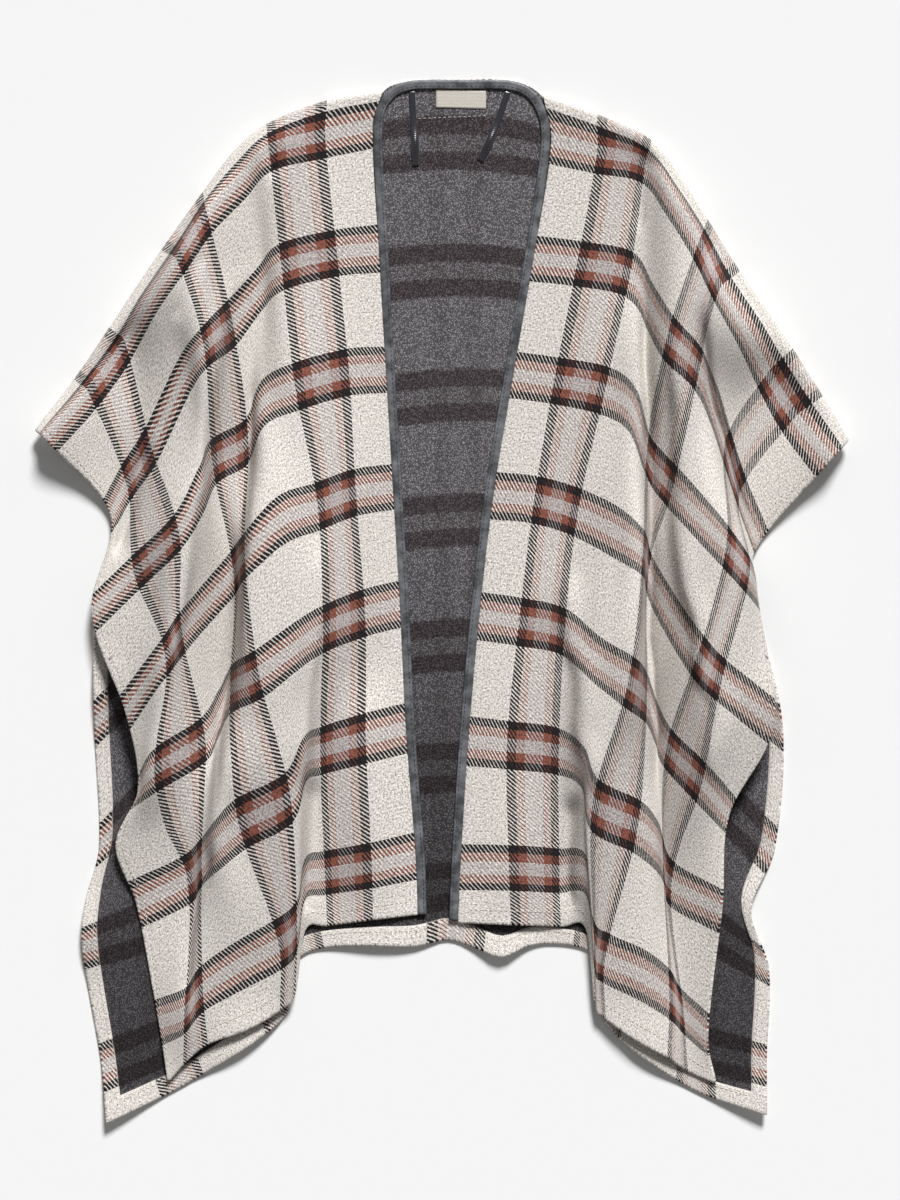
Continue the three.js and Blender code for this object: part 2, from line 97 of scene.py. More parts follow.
# Cross bands of a front: row, mm of cloth below the shoulder, then across, down and height at each station
FRONT = {
    "left": [
        ("band1", 0, (372, 125, 4.2), (324, 136, 10), (270, 151, 23), (243, 178, 21), (208, 217, 42),
         (180, 262, 51), (152, 301, 37), (125, 343, 6), (90, 392, 23), (47, 438, 26)),
        ("band2", 121, (378, 249, 4.2), (336, 254, 12), (283, 268, 19), (261, 289, 7), (232, 324, 20),
         (207, 350, 55), (186, 378, 37), (152, 447, 19), (127, 484, 7), (112, 515, 8)),
        ("band3", 242, (385, 370, 4.2), (348, 373, 16), (297, 388, 34), (264, 404, 20), (248, 441, 6),
         (213, 463, 24), (203, 492, 46), (181, 533, 60), (137, 573, 32), (94, 612, 21)),
        ("band4", 363, (392, 487, 4.2), (355, 493, 20), (319, 507, 38), (282, 521, 54), (247, 556, 48),
         (234, 573, 9), (206, 604, 24), (183, 632, 44), (169, 656, 50), (128, 712, 26)),
        ("band5", 484, (399, 604, 4.2), (364, 613, 16), (324, 629, 44), (296, 648, 57), (260, 673, 60),
         (232, 689, 18), (220, 713, 10), (205, 739, 22), (157, 768, 46), (140, 790, 26)),
        ("notch", 545, (402, 666, 4.2), (365, 675, 11), (322, 690, 34), (302, 703, 45), (276, 734, 53),
         (234, 756, 56), (219, 778, 42), (205, 799, 26), (167, 825, 22), (118, 845, 16)),
        ("band6", 605, (405, 728, 4.2), (365, 738, 21), (321, 750, 19), (306, 757, 40), (291, 796, 45),
         (241, 823, 41), (219, 843, 45), (203, 861, 26), (189, 878, 15), (138, 904, 6)),
        ("band7", 726, (415, 857, 4.2), (371, 866, 17), (326, 874, 6), (304, 881, 19), (297, 925, 25),
         (280, 943, 22), (242, 963, 21), (203, 988, 22), (186, 1011, 20), (160, 1022, 6)),
        ("hem", 786, (417, 913, 5.8), (372, 918, 10), (328, 924, 6.5), (305, 929, 7), (295, 991, 12),
         (281, 1008, 13), (246, 1028, 13), (208, 1042, 13), (184, 1062, 11), (169, 1079, 9)),
    ],
    "right": [
        ("band1", 0, (552, 140, 4.2), (598, 152, 8), (645, 163, 8), (670, 197, 29), (698, 244, 34),
         (717, 290, 51), (742, 332, 46), (767, 374, 9), (794, 417, 9), (828, 460, 22)),
        ("band2", 121, (534, 259, 4.2), (578, 264, 8), (629, 275, 7), (650, 307, 12), (667, 338, 39),
         (697, 370, 39), (711, 402, 27), (724, 446, 19), (739, 494, 12), (758, 543, 6)),
        ("band3", 242, (514, 375, 4.2), (555, 381, 7), (604, 391, 13), (631, 409, 12), (646, 455, 9),
         (672, 489, 18), (699, 520, 54), (724, 547, 60), (746, 574, 55), (755, 590, 26)),
        ("band4", 363, (494, 496, 4.2), (535, 500, 7), (577, 513, 10), (616, 533, 33), (641, 552, 35),
         (648, 572, 8), (668, 611, 24), (696, 656, 46), (718, 680, 60), (771, 722, 26)),
        ("band5", 484, (480, 616, 4.2), (520, 622, 9), (564, 632, 17), (597, 661, 49), (627, 681, 57),
         (645, 698, 18), (655, 721, 8), (667, 747, 20), (700, 781, 42), (727, 814, 26)),
        ("band6", 605, (469, 741, 4.2), (508, 745, 11), (558, 751, 18), (582, 766, 38), (592, 802, 45),
         (636, 825, 29), (654, 842, 20), (662, 858, 8), (671, 883, 8), (719, 908, 26)),
        ("band7", 726, (461, 868, 4.8), (510, 868, 14), (558, 871, 12), (587, 875, 26), (594, 944, 19),
         (604, 958, 18), (641, 974, 20), (669, 994, 12), (683, 1012, 9), (706, 1035, 13)),
        ("hem", 786, (459, 921, 7.4), (512, 923, 12), (560, 925, 6.5), (586, 927, 7), (595, 1001, 12),
         (605, 1016, 13), (638, 1039, 13), (667, 1055, 12), (687, 1069, 7), (714, 1081, 8)),
    ],
}

# Back, seen inside out: row, mm of cloth below the shoulder, then across and down at each station
BACK_STATIONS = {"sideL": -549, "outL": -459, "midL": -306, "inL": -153, "centre": 0, "inR": 153, "midR": 306,
                 "outR": 459, "sideR": 549}
BACK = [
    ("back1", 60, (72, 462), (125, 388), (213, 262), (316, 168), (456, 143), (592, 172), (690, 272), (772, 397),
     (812, 472)),
    ("back2", 185, (116, 524), (168, 444), (240, 350), (330, 290), (457, 270), (577, 291), (666, 362), (733, 452),
     (754, 546)),
    ("back3", 310, (97, 605), (168, 545), (246, 470), (335, 415), (459, 395), (566, 411), (650, 480), (716, 560),
     (756, 612)),
    ("back4", 435, (96, 722), (165, 655), (250, 585), (334, 540), (459, 520), (560, 535), (640, 592), (714, 668),
     (781, 727)),
    ("back5", 560, (101, 845), (165, 782), (250, 715), (330, 665), (459, 645), (561, 661), (634, 720), (709, 790),
     (773, 850)),
    ("dip", 622, (88, 898), (160, 850), (253, 782), (326, 727), (459, 707), (565, 724), (629, 785), (703, 852),
     (749, 909)),
    ("back6", 685, (84, 946), (160, 920), (262, 850), (322, 790), (459, 767), (571, 788), (624, 850), (699, 918),
     (767, 966)),
    ("back7", 805, (103, 1062), (172, 1033), (266, 958), (300, 905), (459, 885), (589, 906), (616, 962),
     (690, 1038), (765, 1060)),
    ("hem", 863, (108, 1121), (188, 1081), (281, 1018), (309, 950), (456, 947), (586, 948), (607, 1022),
     (690, 1086), (765, 1113)),
]

# Waves of the back hem between the fronts: across, spread, how far down
HEM_WAVES = [(447, 22, -9), (502, 19, 11)]

# Back neck edge under the binding: mm from the centre, across, down
NECK = [(-87, 381.5, 93), (-70, 391, 86), (-48, 411, 81.5), (0, 461, 80.5), (48, 511, 81), (70, 530, 87),
        (87, 544, 97)]

# Places where both layers rise together from the surface: across, down, reach, height
RISES = [
    (503, 968, 27, 9), (380, 962, 38, 7), (104, 1128, 40, 9), (250, 1056, 34, 8), (78, 930, 30, 8), (86, 690, 32, 8),
    (30, 430, 36, 8), (630, 1060, 34, 8), (770, 1120, 40, 9), (752, 905, 28, 8), (790, 700, 32, 8),
    (852, 442, 36, 8),
]

# Creases in the fronts: name, reach to the left and right of the line, height (a trough is negative), then
# plan points down it
CREASES = [
    ("left shoulder", 5, 5, -7, (271, 132), (272, 152), (277, 182)),
    ("left sleeve", 5, 7, -4, (207, 247), (194, 277), (187, 297), (176, 325)),
    ("left outer ridge", 16, 5, 12.5, (258, 262), (229, 298), (223, 340), (212, 400), (206, 478), (196, 505),
     (189, 545), (185, 592), (178, 635), (170, 660), (163, 692), (153, 740)),
    ("left valley side", 6, 18, 11, (276, 375), (262, 400), (260, 465), (256, 505), (254, 560), (249, 610),
     (245, 642), (240, 667), (239, 700), (236, 722), (230, 755)),
    ("left valley", 6, 5, -9, (263, 375), (251, 400), (249, 465), (245, 505), (243, 560), (238, 610), (234, 642),
     (229, 667), (228, 700), (225, 722), (219, 755)),
    ("left inner ridge", 14, 5, 9, (325, 530), (321, 610), (316, 642), (309, 692), (306, 750), (303, 790)),
    ("left side trough", 5, 9, -10, (152, 440), (134, 485), (126, 522), (115, 562)),
    ("left tail edge", 6, 12, -12.6, (309, 770), (309, 820), (307, 880), (306, 920)),
    ("left tail trough", 6, 4, -8.4, (214, 835), (209, 877), (200, 897), (193, 933), (191, 967), (187, 1007)),
    ("right shoulder", 5, 5, -7, (650, 150), (641, 181), (638, 233)),
    ("right valley side", 18, 6, 11, (628, 262), (634, 310), (635, 365), (638, 402), (638, 465), (639, 490),
     (638, 560), (637, 600), (634, 630), (639, 667), (640, 700), (644, 720), (648, 750), (648, 800)),
    ("right valley", 5, 6, -9, (639, 262), (645, 310), (646, 365), (649, 402), (649, 465), (650, 490), (649, 560),
     (648, 600), (645, 630), (650, 667), (651, 700), (655, 720), (659, 750), (659, 800)),
    ("right outer ridge", 5, 16, 12.5, (678, 315), (673, 345), (674, 380), (678, 415), (677, 452), (678, 490),
     (675, 515), (684, 590), (697, 627), (696, 667), (717, 707), (712, 740), (709, 767), (729, 800)),
    ("right side trough", 9, 5, -10, (700, 302), (704, 352), (710, 402), (720, 430), (732, 477), (740, 502),
     (757, 552)),
    ("right inner ridge", 5, 14, 9, (568, 560), (568, 642), (578, 665), (580, 700), (578, 730), (585, 760),
     (590, 800)),
    ("right tail edge", 12, 6, -11.2, (577, 790), (571, 840), (567, 880), (572, 922)),
]

# Centre line of the binding from the left front hem round the neck to the right front hem: across, down, lift
BINDING_PATH = [
    (422.2, 914, 2.4), (420.2, 857, 0.8), (410.2, 728, 0), (404.2, 604, 0), (397.2, 487, 0), (390.2, 370, 0),
    (383.4, 249, 0), (379.6, 180, 0), (377.6, 140, 0), (380.0, 112.5, 0), (387.3, 98.6, 0), (398.3, 89.6, 0),
    (415, 85.3, 0), (461, 84.8, 0), (506, 85.2, 0), (524, 90, 0), (536, 101, 0), (543.9, 120, 0), (545.6, 142, 0),
    (539.8, 190, 0), (528.8, 259, 0), (508.8, 375, 0), (488.8, 496, 0), (474.8, 616, 0), (463.8, 741, 0),
    (455.8, 868, 1.2), (453.6, 920, 3.4),
]

# Centre lines of the loops, from under the binding down the inside of the back: across, down, lift
LOOPS = {
    "hanger_loop_left": [(412, 91, 0), (413, 115, 0), (415, 140, 0), (415.5, 166, 0)],
    "hanger_loop_right": [(508, 91.5, 0), (501, 112, 0), (491, 138, 0), (480, 161, 0)],
}

UP = [0.0, 0.0, 1.0]


def hex_linear(text):
    """Linear colour of an sRGB hex value."""
    parts = [int(text[i:i + 2], 16) / 255 for i in (1, 3, 5)]
    return tuple(p / 12.92 if p <= 0.04045 else ((p + 0.055) / 1.055) ** 2.4 for p in parts)


def smooth(t):
    """Eased step from 0 to 1."""
    t = np.clip(t, 0.0, 1.0)
    return t * t * (3 - 2 * t)


def knot_weights(knots, at):
    """Share of each knot's value at each place, on a cubic through unevenly spaced knots."""
    knots, at = np.asarray(knots, float), np.asarray(at, float)
    n = len(knots)
    slope = np.zeros((n, n))
    for i in range(n):
        a, b = max(0, i - 1), min(n - 1, i + 1)
        slope[i, b] += 1 / (knots[b] - knots[a])
        slope[i, a] -= 1 / (knots[b] - knots[a])
    k = np.searchsorted(knots[1:-1], at, side="left")
    h = knots[k + 1] - knots[k]
    f = (at - knots[k]) / h
    row = np.arange(len(at))
    weight = ((f ** 3 - 2 * f ** 2 + f) * h)[:, None] * slope[k] + ((f ** 3 - f ** 2) * h)[:, None] * slope[k + 1]
    weight[row, k] += 2 * f ** 3 - 3 * f ** 2 + 1
    weight[row, k + 1] += 3 * f ** 2 - 2 * f ** 3
    return weight


def rise(across, down):
    """Lift of both layers from the surface at plan points."""
    up = np.zeros_like(across)
    for x, y, reach, height in RISES:
        away = np.hypot(across - x, down - y) / reach
        up += height * smooth(1 - away / 2)
    return up


def crease_height(across, down):
    """Height that the creases add at plan points: steeper on their short side, fading at both ends."""
    up = np.zeros_like(across)
    for _, left, right, height, *path in CREASES:
        knots = np.concatenate([[0], np.cumsum([math.dist(a, b) for a, b in zip(path, path[1:])])])
        line = knot_weights(knots, np.linspace(0, knots[-1], 30)) @ np.array(path, float)
        near = np.full_like(across, 1e9)
        along = np.zeros_like(across)
        reach = np.full_like(across, left)
        for i, (a, b) in enumerate(zip(line, line[1:])):
            d = b - a
            t = np.clip(((across - a[0]) * d[0] + (down - a[1]) * d[1]) / (d @ d), 0, 1)
            gap = np.hypot(across - a[0] - t * d[0], down - a[1] - t * d[1])
            closer = gap < near
            along = np.where(closer, (i + t) / (len(line) - 1), along)
            on_left = d[0] * (down - a[1]) - d[1] * (across - a[0]) > 0
            reach = np.where(closer, np.where(on_left, left, right), reach)
            near = np.minimum(gap, near)
        ends = smooth(along / 0.18) * smooth((1 - along) / 0.18)
        up += height * np.exp(-(near / reach) ** 2) * ends
    return up


def to_frame(across, down, z):
    """Plan points in mm to points of the frame in metres."""
    return np.stack([across - ORIGIN_ACROSS, ORIGIN_DOWN - down, z + rise(across, down)], axis=-1) / 1000


def fold_at(side, u):
    """Contour of the shoulder fold, its radius and its direction out of the cloth."""
    weight = knot_weights(list(STATIONS.values()), u)
    contour = weight @ np.array(FOLD[side], float)
    first = weight @ np.array(FRONT[side][0][2:], float)
    away = contour[:, :2] - first[:, :2]
    away /= np.linalg.norm(away, axis=1)[:, None]
    return contour[:, :2], contour[:, 2], away


def front_sheet(side, u, v):
    """Middle of the cloth of a front, as across, down and height, on a grid of v by u."""
    contour, radius, away = fold_at(side, u)
    weight = knot_weights(list(STATIONS.values()), u)
    lines = np.einsum("us,rsk->ruk", weight, np.array([row[2:] for row in FRONT[side]], float))
    start = np.concatenate([contour - away * radius[:, None], (BACK_Z + 2 * radius)[:, None]], axis=1)
    knots = [FRONT_START] + [row[1] for row in FRONT[side]]
    sheet = np.einsum("vr,ruk->vuk", knot_weights(knots, v), np.concatenate([start[None], lines]))
    to_edge = np.minimum(FRONT_WIDTH - u[None, :], FRONT_LENGTH - v[:, None])
    low = EDGE_Z + (TURNED_EDGE_Z - EDGE_Z) * smooth((38 - to_edge) / 12)
    fade = smooth((v[:, None] + 20) / 40) * smooth(to_edge / 30) * smooth(u[None, :] / 40)
    sheet[..., 2] += crease_height(sheet[..., 0], sheet[..., 1]) * fade
    high = sheet[..., 2] - FOLD_TOP
    sheet[..., 2] = np.where(high > 0, FOLD_TOP + FOLD_ROUNDING * np.tanh(high / FOLD_ROUNDING), sheet[..., 2])
    sheet[..., 2] = np.maximum(sheet[..., 2], low)
    return sheet


def turn_sheet(side, u, angles):
    """Middle of the cloth round a shoulder fold, from the back up to the front."""
    contour, radius, away = fold_at(side, u)
    rows = []
    for angle in angles:
        plan = contour + away * (radius * (math.sin(angle) - 1))[:, None]
        rows.append(np.concatenate([plan, (BACK_Z + radius * (1 - math.cos(angle)))[:, None]], axis=1))
    return np.array(rows)


def back_sheet(s, t):
    """Middle of the cloth of the back, on a grid of t mm down by s mm from the centre."""
    start = np.zeros((len(s), 2))
    for side, hand in (("left", -1), ("right", 1)):
        part = hand * s >= NECK_HALF
        contour, radius, away = fold_at(side, hand * s[part] - NECK_HALF)
        start[part] = contour - away * radius[:, None]
    neck = np.abs(s) < NECK_HALF
    start[neck] = knot_weights([n[0] for n in NECK], s[neck]) @ np.array([n[1:] for n in NECK], float)
    weight = knot_weights(list(BACK_STATIONS.values()), s)
    lines = np.einsum("us,rsk->ruk", weight, np.array([row[2:] for row in BACK], float))
    plan = np.einsum("vr,ruk->vuk", knot_weights([0] + [row[1] for row in BACK], t),
                     np.concatenate([start[None], lines]))
    near = smooth((t - (BACK_LENGTH - 110)) / 110)[:, None]
    for at, spread, down in HEM_WAVES:
        plan[..., 1] += down * near * np.exp(-((plan[..., 0] - at) / spread) ** 2)
    return np.concatenate([plan, np.full(plan.shape[:2] + (1,), BACK_Z)], axis=-1)


def spaced(start, stop, pitch):
    return np.linspace(start, stop, max(2, round((stop - start) / pitch) + 1))


def weave_across(s):
    """Place across the plaid repeat of cloth s mm from the centre."""
    return np.sign(s) * (np.abs(s) - 6 * np.clip(np.abs(s) / NECK_HALF, 0, 1))


class Cloth:
    """Middle points of the sheet with their weave coordinates, and the quads between them."""

    def __init__(self):
        self.mid, self.deep, self.weave, self.turned, self.quads = [], [], [], [], []
        self.count = 0

    def add(self, sheet, across_mm, along_mm, to_side, to_hem, hand, down_sign):
        """Take in one grid of points, with its place in the weave and its distances from the edges."""
        index = np.arange(self.count, self.count + sheet[..., 0].size).reshape(sheet.shape[:2])
        self.count += index.size
        self.mid.append(to_frame(*np.moveaxis(sheet, -1, 0)).reshape(-1, 3))
        self.weave.append(np.stack(np.broadcast_arrays(across_mm, along_mm), -1).reshape(-1, 2))
        to_side, to_hem = np.broadcast_to(to_side, index.shape), np.broadcast_to(to_hem, index.shape)
        # On the inner face the turned strips show the weave from beyond the folded edge
        x = across_mm + 2 * hand * np.where(to_side <= SIDE_TURN, to_side, 0)
        y = along_mm + 2 * down_sign * np.where((to_hem <= HEM_TURN) & (to_side > SIDE_TURN), to_hem, 0)
        self.turned.append(np.stack(np.broadcast_arrays(x, y), -1).reshape(-1, 2))
        # The inner face is one cloth below the middle, or two where the raw edge is turned in
        inside = np.maximum(SIDE_TURN - to_side, HEM_TURN - to_hem)
        self.deep.append((1.0 + 2.0 * np.clip(inside / 1.2 + 1, 0, 1)).reshape(-1))
        return index

    def join(self, grid, flip=False):
        """Quads between the rows and columns of a grid of points."""
        a, b, c, d = grid[:-1, :-1], grid[:-1, 1:], grid[1:, 1:], grid[1:, :-1]
        self.quads.append(np.stack([a, b, c, d] if not flip else [d, c, b, a], -1).reshape(-1, 4))


def sew_cloth():
    """The whole cape as one sheet: the back, and both fronts over the shoulder folds."""
    cloth = Cloth()
    u = np.concatenate([spaced(0, 440, 5.0), FRONT_WIDTH - np.array(SIDE_ROWS)])
    v = np.concatenate([spaced(FRONT_START, 762, 5.5)[1:], FRONT_LENGTH - np.array(HEM_ROWS)])
    t = np.concatenate([spaced(0, 838, 12.0), BACK_LENGTH - np.array(HEM_ROWS)])
    s = np.concatenate([-NECK_HALF - u[::-1], spaced(-NECK_HALF, NECK_HALF, 8.0)[1:-1], NECK_HALF + u])
    # The cross bands of the back were counted 125 mm apart, with the first 60 mm below the shoulder
    along = WEFT_REPEAT * (-1 + (60 - t[:, None]) / 125)
    back = cloth.add(back_sheet(s, t), weave_across(s)[None, :], along, NECK_HALF + FRONT_WIDTH - np.abs(s)[None, :],
                     BACK_LENGTH - t[:, None], np.sign(s)[None, :], -1)
    cloth.join(back)
    turn = np.linspace(0, math.pi, 9)[1:]
    # Round the fold the weave runs on from the back's last point to the front's first
    over_fold = WEFT_REPEAT * (-0.52 + (0.52 - 0.248) * turn / math.pi)[:, None]
    for side, hand in (("left", -1), ("right", 1)):
        across = weave_across(hand * (NECK_HALF + u))[None, :]
        to_side = FRONT_WIDTH - u[None, :]
        first = back[0][[int(np.argmin(np.abs(s - hand * (NECK_HALF + x)))) for x in u]][None]
        fold = cloth.add(turn_sheet(side, u, turn), across, over_fold, to_side, FRONT_LENGTH, hand, 1)
        front = cloth.add(front_sheet(side, u, v), across, v[:, None], to_side, FRONT_LENGTH - v[:, None], hand, 1)
        cloth.join(np.concatenate([first, fold, front]), flip=hand > 0)
    return cloth


def thicken(cloth):
    """Outer and inner faces of the sheet with a rounded border, as vertices, quads, weave and slots."""
    mid = np.concatenate(cloth.mid)
    deep = np.concatenate(cloth.deep)
    quads = np.concatenate(cloth.quads)
    normal = np.zeros_like(mid)
    cross = np.cross(mid[quads[:, 2]] - mid[quads[:, 0]], mid[quads[:, 3]] - mid[quads[:, 1]])
    for k in range(4):
        np.add.at(normal, quads[:, k], cross)
    normal /= np.linalg.norm(normal, axis=1)[:, None]
    n = len(mid)
    outer = mid + normal / 1000
    inner = mid - normal * deep[:, None] / 1000
    weave = np.concatenate(cloth.weave)
    turned = np.concatenate(cloth.turned)
    # The turned strips show the plaid face, and the rest of the inside the reverse
    slot_inner = np.where((deep > 2.9)[quads].sum(1) >= 2, 0, 1)
    faces = [quads, quads[:, ::-1] + n]
    slots = [np.zeros(len(quads), int), slot_inner]
    # Border: directed edges with no partner, chained to their neighbours
    one = quads.reshape(-1)
    two = np.roll(quads, -1, axis=1).reshape(-1)
    key, partner = one.astype(np.int64) * n + two, two.astype(np.int64) * n + one
    rim = ~np.isin(key, partner)
    after = dict(zip(one[rim].tolist(), two[rim].tolist()))
    before = {b: a for a, b in after.items()}
    ring = np.array(sorted(after))
    place = {v: i for i, v in enumerate(ring.tolist())}
    along = mid[[after[v] for v in ring.tolist()]] - mid[[before[v] for v in ring.tolist()]]
    out = np.cross(along, normal[ring])
    out /= np.linalg.norm(out, axis=1)[:, None]
    centre, tall = (1 - deep[ring]) / 2, (1 + deep[ring]) / 2
    arcs, steps = [], 4
    for k in range(1, steps):
        angle = math.pi * k / steps
        arcs.append(mid[ring] + (normal[ring] * (centre + tall * math.cos(angle))[:, None]
                                 + out * (0.85 * tall * math.sin(angle))[:, None]) / 1000)
    base = 2 * n
    m = len(ring)
    rings = [ring] + [base + k * m + np.arange(m) for k in range(steps - 1)] + [ring + n]
    to = np.array([place[after[v]] for v in ring.tolist()])
    for upper, lower in zip(rings, rings[1:]):
        faces.append(np.stack([upper[to], upper, lower, lower[to]], -1))
        slots.append(np.zeros(m, int))
    points = np.concatenate([outer, inner] + arcs)
    pattern = np.concatenate([weave, turned] + [weave[ring]] * (steps - 1))
    return points, np.concatenate(faces), pattern, np.concatenate(slots)


def put_in_scene(name, data):
    """An object of the scene that holds the data."""
    made = bpy.data.objects.new(name, data)
    bpy.context.scene.collection.objects.link(made)
    return made


def mesh_piece(name, points, faces, materials, slots=None, weave=None):
    """A smooth mesh object from arrays, with its weave coordinates in mm."""
    mesh = bpy.data.meshes.new(name)
    mesh.from_pydata([tuple(p) for p in points], [], [tuple(int(i) for i in f) for f in faces])
    for material in materials:
        mesh.materials.append(material)
    mesh.polygons.foreach_set("use_smooth", [True] * len(mesh.polygons))
    if slots is not None:
        mesh.polygons.foreach_set("material_index", np.asarray(slots, np.int32))
    if weave is not None:
        layer = mesh.attributes.new("weave_mm", "FLOAT_VECTOR", "POINT")
        flat = np.zeros((len(points), 3), np.float32)
        flat[:, :2] = weave
        layer.data.foreach_set("vector", flat.reshape(-1))
    mesh.update()
    return put_in_scene(name, mesh)


# ---------------------------------------------------------------- materials


def add(tree, kind, settings=None, links=None):
    """One node with its settings, and its inputs filled with a value or joined to another node."""
    node = tree.nodes.new("ShaderNode" + kind)
    for name, value in (settings or {}).items():
        setattr(node, name, value)
    for key, value in (links or {}).items():
        if isinstance(value, bpy.types.Node):
            value = value.outputs[0]
        if isinstance(value, bpy.types.NodeSocket):
            tree.links.new(value, node.inputs[key])
        else:
            node.inputs[key].default_value = value
    return node


def span(value, start, end, before=0.0, after=1.0):
    """Inputs that turn a range of a value into another range."""
    return {"Value": value, "From Min": start, "From Max": end, "To Min": before, "To Max": after}


def new_material(name):
    material = bpy.data.materials.new(name)
    material.use_nodes = True
    material.node_tree.nodes.clear()
    return material


def finish_material(tree, colour, height, roughness, sheen=0.0, bump_mm=0.3, specular=0.5):
    """Surface from a colour and a bump height, joined to the output."""
    bump = add(tree, "Bump", {}, {"Height": height, "Strength": 1.0, "Distance": bump_mm / 1000})
    shader = add(tree, "BsdfPrincipled", {}, {
        "Base Color": colour, "Roughness": roughness, "Sheen Weight": sheen, "Sheen Roughness": 0.5,
        "Specular IOR Level": specular, "Normal": bump})
    add(tree, "OutputMaterial", {}, {"Surface": shader})


def opaque(colour):
    """The colour with a full alpha."""
    return tuple(colour) + (1.0,)


TIMES, PLUS, TO_AND_FRO = {"operation": "MULTIPLY"}, {"operation": "ADD"}, {"operation": "PINGPONG"}
EASED, COLOURS = {"interpolation_type": "SMOOTHSTEP"}, {"data_type": "RGBA"}


def weave_place(tree, scale, detail, wander):
    """Place in the weave in mm and how far the yarns wander there, with the distance in mm from the
    middle of the nearest lengthwise band and of the nearest cross band."""
    place = add(tree, "Attribute", {"attribute_name": "weave_mm"}).outputs["Vector"]
    noise = add(tree, "TexNoise", {}, {"Vector": place, "Scale": scale, "Detail": detail})
    shift = add(tree, "MapRange", {}, span(noise, 0.0, 1.0, -wander, wander))
    split = add(tree, "SeparateXYZ", {}, {0: place})
    middles = []
    for socket, repeat in zip(split.outputs, (WARP_REPEAT, WEFT_REPEAT)):
        moved = add(tree, "Math", PLUS, {0: socket, 1: shift})
        middles.append(add(tree, "Math", TO_AND_FRO, {0: moved, 1: repeat / 2}))
    return place, shift, split, *middles


def thread_grid(tree, split, pitches, low, high):
    """Tone between the threads and on them, from the pitch in mm across and along."""
    rows = []
    for socket, pitch in zip(split.outputs, pitches):
        turn = add(tree, "Math", TO_AND_FRO, {0: socket, 1: pitch / 2})
        rows.append(add(tree, "MapRange", {}, span(turn, 0.0, pitch / 2)))
    grid = add(tree, "Math", TIMES, {0: rows[0], 1: rows[1]})
    return add(tree, "MapRange", {}, span(grid, 0.0, 1.0, low, high))


def toned(tree, colour, value, *tones):
    """A colour times one tone after another."""
    for tone in tones:
        value = add(tree, "Math", TIMES, {0: value, 1: tone})
    shade = add(tree, "CombineXYZ", {}, {0: value, 1: value, 2: value})
    return add(tree, "VectorMath", TIMES, {0: colour, 1: shade})


def yarn_steps(tree, distance, reach, steps):
    """Colour of a yarn at its distance in mm from the middle of a band; alpha is how much of it shows."""
    share = add(tree, "Math", {"operation": "DIVIDE"}, {0: distance, 1: reach})
    ramp = add(tree, "ValToRGB", {}, {0: share})
    ramp.color_ramp.interpolation = "CONSTANT"
    points = ramp.color_ramp.elements
    points[0].position, points[0].color = 0.0, steps[0][1] + (steps[0][2],)
    points.remove(points[1])
    for start, colour, cover in steps[1:]:
        point = points.new(start / reach)
        point.color = colour + (cover,)
    return ramp


def plaid_twill(props):
    """Wool-blend blanket twill, woven in coloured yarns and lightly brushed: matte, with a fine
    diagonal that shows where dark and cream yarns cross, and a melange speckle in the cream."""
    material = new_material("Wool-blend twill, woven plaid face, brushed")
    tree = material.node_tree
    # Yarns wander a little: about 0.5 mm over 3 mm of cloth
    place, shift, split, from_warp, from_weft = weave_place(tree, 0.33, 1.0, 0.55)
    cream, pale, rust, black = map(tuple, (props.cream, props.pale_grey, props.rust, props.black))
    # Where each colour starts, in mm from the middle of a band, and how much of its yarn shows
    warp = yarn_steps(tree, from_warp, WARP_REPEAT / 2, [
        (0, pale, 0.45), (9, rust, 0.36), (18, black, 0.60), (28, cream, 0.5)])
    weft = yarn_steps(tree, from_weft, WEFT_REPEAT / 2, [
        (0, pale, 0.6), (6.5, rust, 0.56), (15.5, black, 0.75), (23.5, cream, 0.5)])
    cover = add(tree, "Math", {"operation": "SUBTRACT"}, {0: warp.outputs[1], 1: weft.outputs[1]})
    lower, upper = [add(tree, "Math", PLUS, {0: cover, 1: 0.5 + edge}) for edge in (-0.2, 0.2)]
    # The twill's diagonal, steeper in the cross bands than in the lengthwise ones
    half = props.twill_pitch / 2
    masks = []
    for angle in (props.warp_twill_angle, props.weft_twill_angle):
        lean = (-math.sin(angle), math.cos(angle), 0.0)
        climb = add(tree, "VectorMath", {"operation": "DOT_PRODUCT"}, {0: place, 1: lean})
        moved = add(tree, "Math", PLUS, {0: climb.outputs["Value"], 1: shift})
        wave = add(tree, "Math", TO_AND_FRO, {0: moved, 1: half})
        share = add(tree, "Math", {"operation": "DIVIDE"}, {0: wave, 1: half})
        masks.append(add(tree, "MapRange", EASED, span(share, lower, upper)))
    in_cross = add(tree, "Math", {"operation": "LESS_THAN"}, {0: from_weft, 1: 23.5})
    mask = add(tree, "Mix", {"data_type": "FLOAT"}, {0: in_cross, 2: masks[0], 3: masks[1]})
    mixed = add(tree, "Mix", COLOURS, {0: mask, 6: warp, 7: weft})
    # Melange: tufts of fibre 0.5 to 2 mm wide, dark flecks about 2 mm wide, and the thread grid
    fibre = add(tree, "TexNoise", {}, {"Vector": place, "Scale": 0.52, "Detail": 3.0, "Roughness": 0.75})
    fleck = add(tree, "TexNoise", {}, {"Vector": place, "Scale": 0.45, "Detail": 1.0})
    tone = add(tree, "MapRange", {}, span(fibre, 0.3, 0.7, 0.28, 1.64))
    dark = add(tree, "MapRange", {}, span(fleck, 0.58, 0.68, 1.0, 0.55))
    grid = thread_grid(tree, split, (props.thread_pitch, props.thread_pitch), 1.05, 0.88)
    finish_material(tree, toned(tree, mixed.outputs[2], tone, dark, grid), fibre, 0.92, sheen=0.05, bump_mm=0.3,
                    specular=0.1)
    return material


